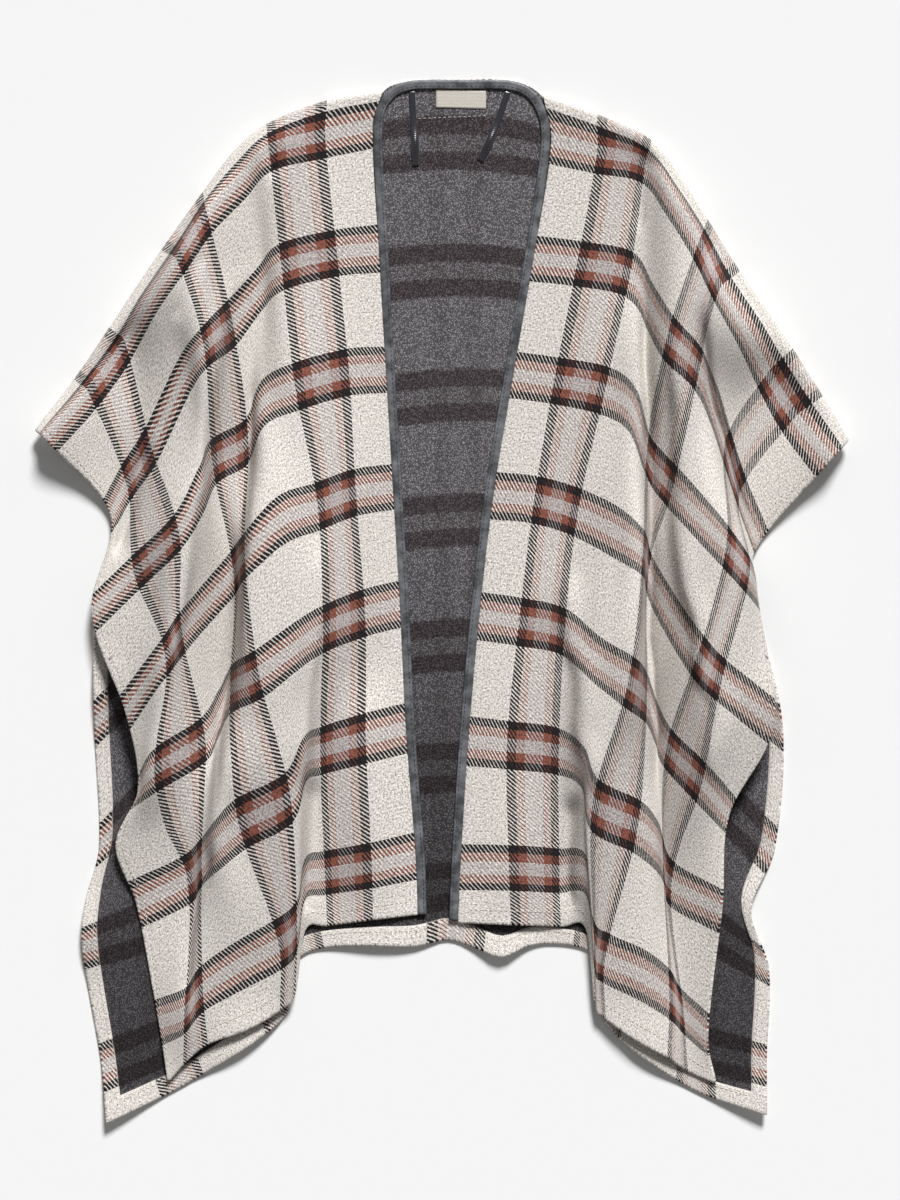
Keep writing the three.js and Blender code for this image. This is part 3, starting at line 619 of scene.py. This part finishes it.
def charcoal_reverse(props):
    """The other side of the same double cloth, brushed wool: dark and soft, light fibre ends standing
    out as pinpoints, brown-black cross bands with blurred edges."""
    material = new_material("Wool-blend twill, charcoal reverse, brushed")
    tree = material.node_tree
    # The bands' edges wander by up to 3 mm
    place, _, split, warp, weft = weave_place(tree, 0.25, 3.0, 3.0)
    # Blurred edges: distance, where it starts and ends in mm, strength before and after
    inside, outside, near, ghost_in, ghost_out = [
        add(tree, "MapRange", EASED, span(distance, start, end, before, after))
        for distance, start, end, before, after in (
            (weft, 5.5, 9.5, 0.0, 1.0), (weft, 23.5, 27.5, 1.0, 0.0), (weft, 23.5, 27.5, 0.30, 0.0),
            (warp, 8.0, 14.0, 0.0, 1.0), (warp, 26.0, 31.0, 0.22, 0.0))]
    band = add(tree, "Math", TIMES, {0: inside, 1: outside})
    depth = add(tree, "Math", {"operation": "MAXIMUM"}, {0: band, 1: near})
    ghost = add(tree, "Math", TIMES, {0: ghost_in, 1: ghost_out})
    charcoal, brown = opaque(props.charcoal), opaque(props.reverse_band)
    ground = add(tree, "Mix", COLOURS, {0: ghost, 6: charcoal, 7: brown})
    base = add(tree, "Mix", COLOURS, {0: depth, 6: ground.outputs[2], 7: brown})
    fibre = add(tree, "TexNoise", {}, {"Vector": place, "Scale": 0.9, "Detail": 4.0, "Roughness": 0.7})
    tone = add(tree, "MapRange", {}, span(fibre, 0.3, 0.7, 0.45, 1.45))
    grid = thread_grid(tree, split, (2.6, 3.4), 0.92, 1.22)
    # Fibre ends under 1 mm wide and 1.6 mm apart
    ends = add(tree, "TexVoronoi", {"feature": "F1"}, {"Vector": place, "Scale": 0.64})
    pin = add(tree, "MapRange", {}, span(ends.outputs["Distance"], 0.12, 0.52, 2.7, 0.60))
    # Painted shade: darker towards the hem of the back, where the fronts stand high beside it
    painted_hem_shade = add(tree, "MapRange", EASED, span(split.outputs[1], -840.0, -380.0, 0.42, 1.0))
    finish_material(tree, toned(tree, base.outputs[2], tone, grid, pin, painted_hem_shade), fibre, 0.95, sheen=0.12, bump_mm=0.5,
                    specular=0.1)
    return material


def faux_leather(props):
    """Polyurethane-coated tape, calendered and stitched down: low even sheen over fine grain."""
    material = new_material("Faux leather tape, polyurethane coated")
    tree = material.node_tree
    place = add(tree, "TexCoord").outputs["Object"]
    # Grain about 0.7 mm across
    grain = add(tree, "TexVoronoi", {"feature": "F1"}, {"Vector": place, "Scale": 1400.0})
    rub = add(tree, "TexNoise", {}, {"Vector": place, "Scale": 90.0, "Detail": 3.0})
    tone = add(tree, "MapRange", {}, span(rub, 0.35, 0.7))
    colour = add(tree, "Mix", COLOURS, {
        0: tone, 6: opaque(hex_linear("#434447")), 7: opaque(props.binding_colour)})
    finish_material(tree, colour.outputs[2], grain.outputs["Distance"], 0.36, bump_mm=0.12, specular=0.5)
    return material


def satin_ribbon(props):
    """Polyester satin ribbon, woven with long floats: a bright streak across the bend of the loop."""
    material = new_material("Polyester satin ribbon")
    tree = material.node_tree
    place = add(tree, "TexCoord").outputs["Object"]
    # Rib every 0.5 mm, drawn at 1 mm so that it shows
    rib = add(tree, "TexWave", {"wave_type": "BANDS", "bands_direction": "Y"}, {
        "Vector": place, "Scale": 160.0, "Distortion": 1.5, "Detail": 1.0})
    colour = add(tree, "Mix", COLOURS, {
        0: rib, 6: opaque(props.ribbon_colour), 7: opaque(hex_linear("#2C2D36"))})
    finish_material(tree, colour.outputs[2], rib, 0.28, sheen=0.2, bump_mm=0.05, specular=0.9)
    return material


def label_tape(props):
    """Woven damask label tape with heat-cut ends: flat, fine ribbed, faintly glossy."""
    material = new_material("Woven label tape, damask")
    tree = material.node_tree
    place = add(tree, "TexCoord").outputs["Object"]
    rib = add(tree, "TexWave", {"wave_type": "BANDS", "bands_direction": "Y"}, {
        "Vector": place, "Scale": 220.0, "Distortion": 0.8})
    fibre = add(tree, "TexNoise", {}, {"Vector": place, "Scale": 700.0, "Detail": 2.0})
    both = add(tree, "Math", {"operation": "MULTIPLY_ADD"}, {0: rib, 1: 0.6, 2: fibre})
    tone = add(tree, "MapRange", {}, span(both, 0.2, 1.3))
    colour = add(tree, "Mix", COLOURS, {
        0: tone, 6: opaque(hex_linear("#B7AFA5")), 7: opaque(props.label_colour)})
    finish_material(tree, colour.outputs[2], both, 0.6, sheen=0.1, bump_mm=0.1, specular=0.3)
    return material


def sewing_thread(name, colour):
    """Spun polyester thread: matte, two plies twisted."""
    material = new_material(name)
    tree = material.node_tree
    place = add(tree, "TexCoord").outputs["Object"]
    ply = add(tree, "TexNoise", {}, {"Vector": place, "Scale": 900.0, "Detail": 1.0})
    tone = add(tree, "MapRange", {}, span(ply, 0.0, 1.0, 0.7, 1.15))
    shade = add(tree, "VectorMath", {"operation": "SCALE"}, {0: colour, 3: tone})
    finish_material(tree, shade.outputs[0], ply, 0.8, bump_mm=0.05, specular=0.2)
    return material


# ---------------------------------------------------------------- strips


def path_points(path, pitch):
    """Evenly spaced plan points along a smooth line, with the distance of each along it."""
    path = np.array(path, float)
    knots = np.concatenate([[0], np.cumsum(np.hypot(*np.diff(path[:, :2], axis=0).T))])
    at = np.linspace(0, knots[-1], round(knots[-1] / pitch) + 1)
    return knot_weights(knots, at) @ path, at


def sweep(path, base_z, pitch, section):
    """Rows of points of a bar along a plan path. section(distance, share) gives side and height in mm."""
    points, at = path_points(path, pitch)
    along = np.gradient(points[:, :2], axis=0)
    along /= np.linalg.norm(along, axis=1)[:, None]
    side = np.stack([-along[:, 1], along[:, 0]], -1)
    rows = []
    for i, distance in enumerate(at):
        shape = np.array(section(distance, distance / at[-1]))
        across = points[i, 0] + side[i, 0] * shape[:, 0]
        down = points[i, 1] + side[i, 1] * shape[:, 0]
        rows.append(to_frame(across, down, base_z + points[i, 2] + shape[:, 1]))
    return np.array(rows)


def close_bar(rows):
    """Faces of a closed bar from its rows of ring points, facing out."""
    n, m = rows.shape[:2]
    index = np.arange(n * m).reshape(n, m)
    a, b = index[:-1], index[1:]
    sides = np.stack([a, b, np.roll(b, -1, 1), np.roll(a, -1, 1)], -1).reshape(-1, 4).tolist()
    return sides + [index[0].tolist(), index[-1][::-1].tolist()]


def binding_section(distance, share):
    """Folded tape: rounded on both sides, a stitched groove nearer the cloth, ruched in places."""
    ruche = smooth((share - 0.02) / 0.05) * smooth((0.16 - share) / 0.05)
    ruche += 0.6 * smooth((share - 0.86) / 0.03) * smooth((0.98 - share) / 0.03)
    shape = []
    for k in range(18):
        turn = 2 * math.pi * k / 18
        x = BINDING_SIDE * math.copysign(abs(math.cos(turn)) ** 0.7, math.cos(turn))
        z = BINDING_HALF * math.copysign(abs(math.sin(turn)) ** 0.8, math.sin(turn))
        if z > 0:
            z -= 0.75 * math.exp(-((x - GROOVE_AT) / 0.7) ** 2)
            z += 0.35 * ruche * math.sin(2 * math.pi * (distance + 0.8 * x) / 5.2)
        shape.append((x, z))
    return shape


def loop_section(distance, share):
    """Two layers of ribbon lying together, standing up a little where the loop turns."""
    stand = 4.2 * math.exp(-((share - 0.72) / 0.15) ** 2)
    wide = 3.3 + 1.1 * math.exp(-((share - 0.74) / 0.14) ** 2)
    shape = []
    for k in range(12):
        turn = 2 * math.pi * k / 12
        x = wide * math.cos(turn)
        z = 0.55 * math.copysign(abs(math.sin(turn)) ** 0.6, math.sin(turn))
        z += stand * (1 - (x / 4.6) ** 2) if z > -0.2 else 0
        shape.append((x, z))
    return shape


def stitch_run(points, ups, length, gap, width):
    """Short rounded stitches laid along a line of points of the frame, each half sunk in the cloth."""
    points = np.asarray(points)
    step = np.linalg.norm(np.diff(points, axis=0), axis=1)
    at = np.concatenate([[0], np.cumsum(step)])
    rows, faces = [], []
    start = gap / 2
    while start + length < at[-1]:
        ends = []
        for where, fall in ((start, 0.0), (start + 0.18 * length, 1.0), (start + 0.82 * length, 1.0),
                            (start + length, 0.0)):
            p = np.array([np.interp(where, at, points[:, k]) for k in range(3)])
            n = np.array([np.interp(where, at, ups[:, k]) for k in range(3)])
            ends.append((p, n / np.linalg.norm(n), fall))
        way = ends[-1][0] - ends[0][0]
        way /= np.linalg.norm(way)
        base = len(rows)
        for p, n, fall in ends:
            side = np.cross(way, n)
            side /= np.linalg.norm(side)
            middle = p + n * width * (0.25 * fall - 0.3 * (1 - fall))
            for k in range(6):
                turn = 2 * math.pi * k / 6
                out = side * math.cos(turn) + n * math.sin(turn)
                rows.append(middle + out * width * (0.35 + 0.15 * fall))
        for r in range(3):
            for k in range(6):
                a, b = base + r * 6 + k, base + r * 6 + (k + 1) % 6
                faces.append((a, b, b + 6, a + 6))
        faces.append(tuple(base + k for k in reversed(range(6))))
        faces.append(tuple(base + 18 + k for k in range(6)))
        start += length + gap
    return rows, faces


def front_line(side, u, v):
    """Points on the outside of a front along one row or column, and the way up from the cloth there."""
    u, v = np.atleast_1d(np.asarray(u, float)), np.atleast_1d(np.asarray(v, float))

    def at(a, b):
        return to_frame(*np.moveaxis(front_sheet(side, a, b), -1, 0))

    up = np.cross(at(u + 1, v) - at(u - 1, v), at(u, v + 1) - at(u, v - 1))
    up *= np.sign(up[..., 2:]) / np.linalg.norm(up, axis=-1)[..., None]
    return (at(u, v) + up / 1000).reshape(-1, 3), up.reshape(-1, 3)


def back_line(s, t):
    """Points on the inside of the back along one row or column."""
    sheet = back_sheet(np.atleast_1d(np.asarray(s, float)), np.atleast_1d(np.asarray(t, float)))
    points = to_frame(sheet[..., 0], sheet[..., 1], sheet[..., 2] * 0 + BACK_STITCH_Z).reshape(-1, 3)
    return points, np.tile(UP, (len(points), 1))


def sew(name, lines, thread, length, gap, width):
    """One piece from the stitches along several lines."""
    points, faces = [], []
    for path, ups in lines:
        more, quads = stitch_run(path, ups, length, gap, width)
        faces += [tuple(i + len(points) for i in quad) for quad in quads]
        points += more
    piece = mesh_piece(name, points, faces, [thread])
    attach(piece, "root")
    return piece


# ---------------------------------------------------------------- properties and operators


COLOUR = {"subtype": "COLOR", "size": 3}


class CapeSettings(bpy.types.PropertyGroup):
    twill_pitch: bpy.props.FloatProperty(
        name="Twill pitch", description="Distance between diagonals in mm", default=3.3, min=1.0)
    thread_pitch: bpy.props.FloatProperty(
        name="Thread pitch", description="Thread grid of the cream in mm", default=2.1, min=0.5)
    warp_twill_angle: bpy.props.FloatProperty(
        name="Twill angle, lengthwise bands", description="Fall of the diagonal in the lengthwise bands",
        subtype="ANGLE", default=math.radians(36))
    weft_twill_angle: bpy.props.FloatProperty(
        name="Twill angle, cross bands", description="Fall of the diagonal in the cross bands",
        subtype="ANGLE", default=math.radians(54))
    stitch_length: bpy.props.FloatProperty(
        name="Stitch length", description="Length of one hem stitch", unit="LENGTH", default=0.0032, min=0.001)
    stitch_gap: bpy.props.FloatProperty(
        name="Stitch gap", description="Cloth between two hem stitches", unit="LENGTH", default=0.0018, min=0.0005)
    cream: bpy.props.FloatVectorProperty(
        name="Cream yarn", description="Ground of the plaid", default=hex_linear("#DED8D1"), **COLOUR)
    pale_grey: bpy.props.FloatVectorProperty(
        name="Pale grey yarn", description="Middle of each band", default=hex_linear("#B8AFAD"), **COLOUR)
    rust: bpy.props.FloatVectorProperty(
        name="Rust yarn", description="Inner stripes of each band", default=hex_linear("#885447"), **COLOUR)
    black: bpy.props.FloatVectorProperty(
        name="Black yarn", description="Outer stripes of each band", default=hex_linear("#272325"), **COLOUR)
    charcoal: bpy.props.FloatVectorProperty(
        name="Charcoal", description="Ground of the reverse", default=hex_linear("#6C696C"), **COLOUR)
    reverse_band: bpy.props.FloatVectorProperty(
        name="Reverse band", description="Cross bands of the reverse", default=hex_linear("#474042"), **COLOUR)


class TrimSettings(bpy.types.PropertyGroup):
    binding_colour: bpy.props.FloatVectorProperty(
        name="Binding", description="Coated tape", default=hex_linear("#7A7B7F"), **COLOUR)
    ribbon_colour: bpy.props.FloatVectorProperty(
        name="Hanger ribbon", description="Satin ribbon", default=hex_linear("#1B1B22"), **COLOUR)
    label_colour: bpy.props.FloatVectorProperty(
        name="Label", description="Woven label tape", default=hex_linear("#DAD4CA"), **COLOUR)
    stitch_length: bpy.props.FloatProperty(
        name="Binding stitch", description="Length of one stitch of the binding", unit="LENGTH", default=0.0034,
        min=0.001)


class StageSettings(bpy.types.PropertyGroup):
    camera_height: bpy.props.FloatProperty(
        name="Camera height", description="Camera above the cloth", unit="LENGTH", default=6.0, min=1.0)
    key_strength: bpy.props.FloatProperty(
        name="Key light", description="Strength of the large far light", default=4.17, min=0.0)
    key_softness: bpy.props.FloatProperty(
        name="Key softness", description="Angle that the key light fills", subtype="ANGLE",
        default=math.radians(16))
    key_elevation: bpy.props.FloatProperty(
        name="Key height", description="Angle of the key light over the floor", subtype="ANGLE",
        default=math.radians(39))
    key_azimuth: bpy.props.FloatProperty(
        name="Key direction", description="Angle of the key light in plan, from +X", subtype="ANGLE",
        default=math.radians(77))
    fill: bpy.props.FloatProperty(
        name="Fill light", description="Strength of the even white surroundings", default=0.18, min=0.0)
    floor_colour: bpy.props.FloatVectorProperty(
        name="Floor", description="Pale paper", default=hex_linear("#F4F4F4"), **COLOUR)


def ride_and_replace(piece, slot, *nodes):
    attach(piece, "root")
    if nodes:
        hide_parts(*nodes)


def require(condition, message):
    if not condition:
        raise RuntimeError(message)


class CAPE_OT_cloth(bpy.types.Operator):
    """Weave the back and both fronts as one thin sheet and lay it in its folds"""
    bl_idname = "cape.cloth"
    bl_label = "Cloth body"

    def execute(self, context):
        props = context.scene.cape_cloth
        points, faces, weave, slots = thicken(sew_cloth())
        piece = mesh_piece("cape_cloth", points, faces, [plaid_twill(props), charcoal_reverse(props)], slots, weave)
        require(len(piece.data.polygons) > 1000, "The cloth has no faces")
        ride_and_replace(piece, "plaid_face", "cloth_body")
        cream = sewing_thread("Spun polyester thread, cream", hex_linear("#CFC7BC"))
        grey = sewing_thread("Spun polyester thread, light grey", hex_linear("#B5B1AE"))
        hems = [back_line(spaced(-530, 530, 6), BACK_LENGTH - HEM_STITCH)]
        tacks = []
        for side, hand in (("left", -1), ("right", 1)):
            hems.append(front_line(side, FRONT_WIDTH - FRONT_SIDE_STITCH, spaced(-10, 770, 4)))
            hems.append(front_line(side, spaced(8, 450, 4), FRONT_LENGTH - HEM_STITCH))
            hems.append(back_line(hand * (NECK_HALF + FRONT_WIDTH - BACK_SIDE_STITCH), spaced(60, 850, 6)))
            for k in range(3):
                at = spaced(FRONT_WIDTH - 8, FRONT_WIDTH - 0.5, 1.5)
                tacks.append(front_line(side, at, TACKS[side] + 0.9 * k))
        hem = sew("hem_stitches", hems, cream, props.stitch_length, props.stitch_gap, width=0.0008)
        row = to_frame(np.linspace(412, 487, 20), np.linspace(119, 116, 20), np.full(20, INSIDE_Z))
        neck = sew("neck_tape_stitches", [(row, np.tile(UP, (20, 1)))], grey, length=0.0028, gap=0.0022, width=0.0010)
        tack = sew("underarm_tacks", tacks, grey, length=0.0062, gap=0.0006, width=0.0009)
        return {"FINISHED"}


class CAPE_OT_binding(bpy.types.Operator):
    """Bind the neck and both front edges with a folded tape"""
    bl_idname = "cape.binding"
    bl_label = "Edge binding"

    def execute(self, context):
        props = context.scene.cape_trim
        middle_z = INSIDE_Z + CLEARANCE + BINDING_HALF
        rows = sweep(BINDING_PATH, middle_z, 2.6, binding_section)
        piece = mesh_piece("front_binding", rows.reshape(-1, 3), close_bar(rows), [faux_leather(props)])
        ride_and_replace(piece, "binding", "edge_binding")
        thread = sewing_thread("Bonded polyester thread, charcoal", hex_linear("#2B2B2E"))
        line = sweep(BINDING_PATH, middle_z, 2.0, lambda distance, share: [(GROOVE_AT, 1.0)]).reshape(-1, 3)
        stitches = sew("binding_stitches", [(line, np.tile(UP, (len(line), 1)))], thread, props.stitch_length,
                       gap=0.0012, width=0.0008)
        return {"FINISHED"}


class CAPE_OT_loops(bpy.types.Operator):
    """Fold the two satin hanger loops down the inside of the back"""
    bl_idname = "cape.loops"
    bl_label = "Hanger loops"

    def execute(self, context):
        ribbon = satin_ribbon(context.scene.cape_trim)
        for node, path in LOOPS.items():
            rows = sweep(path, INSIDE_Z + CLEARANCE + RIBBON_HALF, 2.0, loop_section)
            piece = mesh_piece(node.replace("hanger_", "ribbon_"), rows.reshape(-1, 3), close_bar(rows), [ribbon])
            ride_and_replace(piece, "loop_satin", node)
        return {"FINISHED"}


class CAPE_OT_label(bpy.types.Operator):
    """Lay the bare woven label under the neck binding"""
    bl_idname = "cape.label"
    bl_label = "Neck label"

    def execute(self, context):
        low, high = map(Vector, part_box("neck_label"))
        middle = (low + high) / 2
        n, m = 26, 10
        points, faces = [], []
        for height in (LABEL_HIGH, LABEL_LOW):
            for j in range(m + 1):
                for i in range(n + 1):
                    x, y = i / n - 0.5, j / m - 0.5
                    wave = 0.00012 * abs(math.sin(9 * x) * math.cos(5 * y))
                    points.append((middle.x + LABEL_WIDE * x, middle.y + LABEL_TALL * y - 0.0012 * x,
                                   low.z + height + wave))
        size = (n + 1) * (m + 1)
        for j in range(m):
            for i in range(n):
                a = j * (n + 1) + i
                faces.append((a, a + 1, a + n + 2, a + n + 1))
                faces.append((size + a, size + a + n + 1, size + a + n + 2, size + a + 1))
        rim = list(range(n + 1)) + [(j + 1) * (n + 1) - 1 for j in range(1, m + 1)]
        rim += [m * (n + 1) + i for i in reversed(range(n))] + [j * (n + 1) for j in reversed(range(1, m))]
        for a, b in zip(rim, rim[1:] + rim[:1]):
            faces.append((a, size + a, size + b, b))
        piece = mesh_piece("bare_label", points, faces, [label_tape(context.scene.cape_trim)])
        ride_and_replace(piece, "label_tape", "neck_label")
        return {"FINISHED"}


class CAPE_OT_stage(bpy.types.Operator):
    """Set the pale floor, the camera straight above and the soft light from the upper right"""
    bl_idname = "cape.stage"
    bl_label = "Floor, camera and light"

    def execute(self, context):
        props = context.scene.cape_stage
        mesh = bpy.data.meshes.new("floor")
        mesh.from_pydata([(-6, -6, 0), (6, -6, 0), (6, 6, 0), (-6, 6, 0)], [], [(0, 1, 2, 3)])
        floor = put_in_scene("floor", mesh)
        paper = new_material("Paper backdrop, matte")
        tree = paper.node_tree
        tooth = add(tree, "TexNoise", {}, {"Scale": 400.0})
        finish_material(tree, opaque(props.floor_colour), tooth, 0.95, bump_mm=0.02, specular=0.1)
        mesh.materials.append(paper)
        lens = bpy.data.cameras.new("camera")
        lens.sensor_fit = "VERTICAL"
        lens.sensor_height = 36.0
        lens.lens = 36.0 * props.camera_height / BOARD_TALL
        lens.clip_end = 100.0
        camera = put_in_scene("camera", lens)
        across, down = BOARD_MIDDLE
        camera.location = ((across - ORIGIN_ACROSS) / 1000, (ORIGIN_DOWN - down) / 1000, props.camera_height)
        context.scene.camera = camera
        key = bpy.data.lights.new("key", "SUN")
        key.energy, key.angle = props.key_strength, props.key_softness
        lamp = put_in_scene("key", key)
        level = math.cos(props.key_elevation)
        toward = Vector((level * math.cos(props.key_azimuth), level * math.sin(props.key_azimuth),
                         math.sin(props.key_elevation)))
        lamp.location = toward * 4
        lamp.rotation_euler = (-toward).to_track_quat("-Z", "Y").to_euler()
        context.scene.view_settings.view_transform = "Standard"
        world = bpy.data.worlds.new("even white")
        world.use_nodes = True
        background = world.node_tree.nodes["Background"]
        background.inputs["Color"].default_value = (1.0, 1.0, 1.0, 1.0)
        background.inputs["Strength"].default_value = props.fill
        context.scene.world = world
        return {"FINISHED"}


class CAPE_PT_panel(bpy.types.Panel):
    """Pieces of the cape and their sizes and colours"""
    bl_idname = "CAPE_PT_panel"
    bl_label = "Blanket cape"
    bl_space_type = "VIEW_3D"
    bl_region_type = "UI"
    bl_category = "Blanket cape"

    def draw(self, context):
        for name in STEPS:
            self.layout.operator("cape." + name)
        for name, kind in GROUPS.items():
            for key in kind.__annotations__:
                self.layout.prop(getattr(context.scene, name), key)


STEPS = ("cloth", "binding", "loops", "label", "stage")
GROUPS = {"cape_cloth": CapeSettings, "cape_trim": TrimSettings, "cape_stage": StageSettings}
CLASSES = (*GROUPS.values(), CAPE_OT_cloth, CAPE_OT_binding, CAPE_OT_loops, CAPE_OT_label, CAPE_OT_stage,
           CAPE_PT_panel)


def register():
    for kind in CLASSES:
        bpy.utils.register_class(kind)
    for name, kind in GROUPS.items():
        setattr(bpy.types.Scene, name, bpy.props.PointerProperty(type=kind))


def unregister():
    for name in GROUPS:
        delattr(bpy.types.Scene, name)
    for kind in reversed(CLASSES):
        bpy.utils.unregister_class(kind)


def main():
    register()
    for name in STEPS:
        getattr(bpy.ops.cape, name)()


if __name__ == "__main__":
    main()
